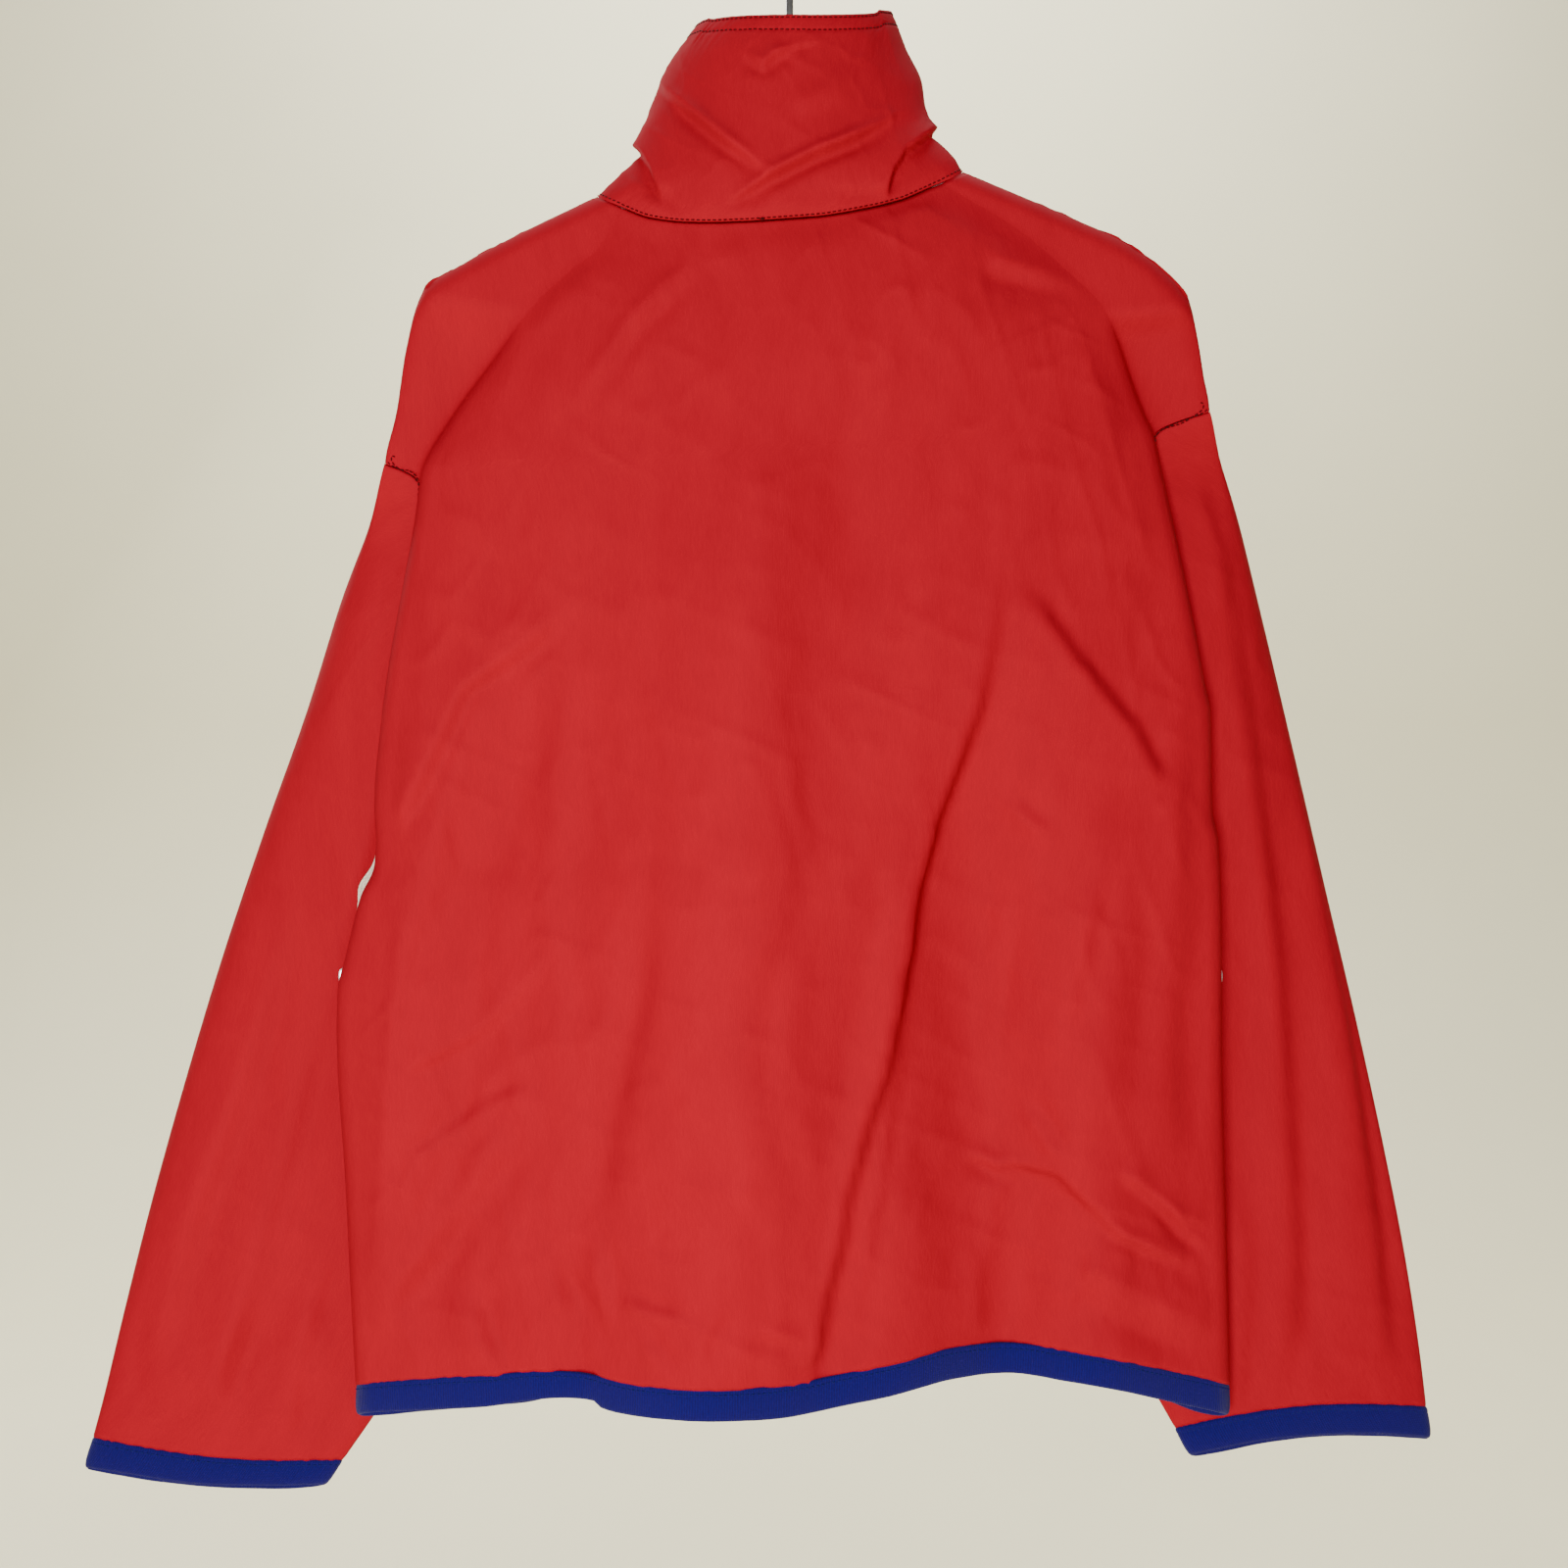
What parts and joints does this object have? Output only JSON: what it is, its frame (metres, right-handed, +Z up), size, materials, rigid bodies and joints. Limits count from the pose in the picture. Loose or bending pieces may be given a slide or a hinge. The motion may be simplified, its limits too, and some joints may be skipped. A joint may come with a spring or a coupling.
{
  "type": "nylon jacket on a hanger",
  "caption": "Hip-length red nylon jacket with a tall stand collar, dropped shoulders and dark blue knit bindings, hanging on a plain hanger and seen best from its back.",
  "frame": {"origin": "the point where the hanger's hook rests on what it hangs from, at the inner top of its wire", "axes": "+Z up; the garment's front faces -Y and its back +Y; +X is the wearer's left"},
  "size_m": [0.7517, 0.1365, 0.878],
  "materials": {
    "red_nylon": "matt nylon with a fine upright grain",
    "blue_knit": "matt fine knit",
    "red_zip_tape": "woven tape",
    "red_zip_teeth": "moulded coil",
    "cream_tape": "woven tape",
    "zip_metal": "plated",
    "hanger_wire": "polished wire",
    "hanger_bar": "plain moulded bar"
  },
  "bodies": {
    "jacket": {"back": "red_nylon", "front_left": "red_nylon", "front_right": "red_nylon", "sleeve_left": "red_nylon", "sleeve_right": "red_nylon", "collar": "red_nylon", "hem_binding": "blue_knit", "cuff_binding_left": "blue_knit", "cuff_binding_right": "blue_knit", "zip_tape_left": "red_zip_tape", "zip_tape_right": "red_zip_tape", "zip_chain": "red_zip_teeth", "zip_slider": "zip_metal", "pocket_strip_left": "cream_tape", "pocket_strip_right": "cream_tape", "pocket_slider_left": "zip_metal", "pocket_slider_right": "zip_metal", "hanger_arms": "hanger_bar", "hanger_hook": "hanger_wire"},
    "front_pull": {"zip_pull": "zip_metal"},
    "left_pull": {"pocket_pull_left": "zip_metal"},
    "right_pull": {"pocket_pull_right": "zip_metal"}
  },
  "joints": [
    {"name": "zip_pull_swing", "type": "hinge", "parent": "jacket", "child": "front_pull", "pos_m": [0, -0.07927, -0.13045], "axis": [-1, 0, 0], "range_deg": [0, 150]},
    {"name": "pocket_pull_left_swing", "type": "hinge", "parent": "jacket", "child": "left_pull", "pos_m": [0.24507, -0.01705, -0.58441], "axis": [-0.9129, -0.4081, 0], "range_deg": [0, 150]},
    {"name": "pocket_pull_right_swing", "type": "hinge", "parent": "jacket", "child": "right_pull", "pos_m": [-0.2353, -0.01706, -0.58432], "axis": [-0.9143, 0.4051, 0], "range_deg": [0, 150]}
  ]
}
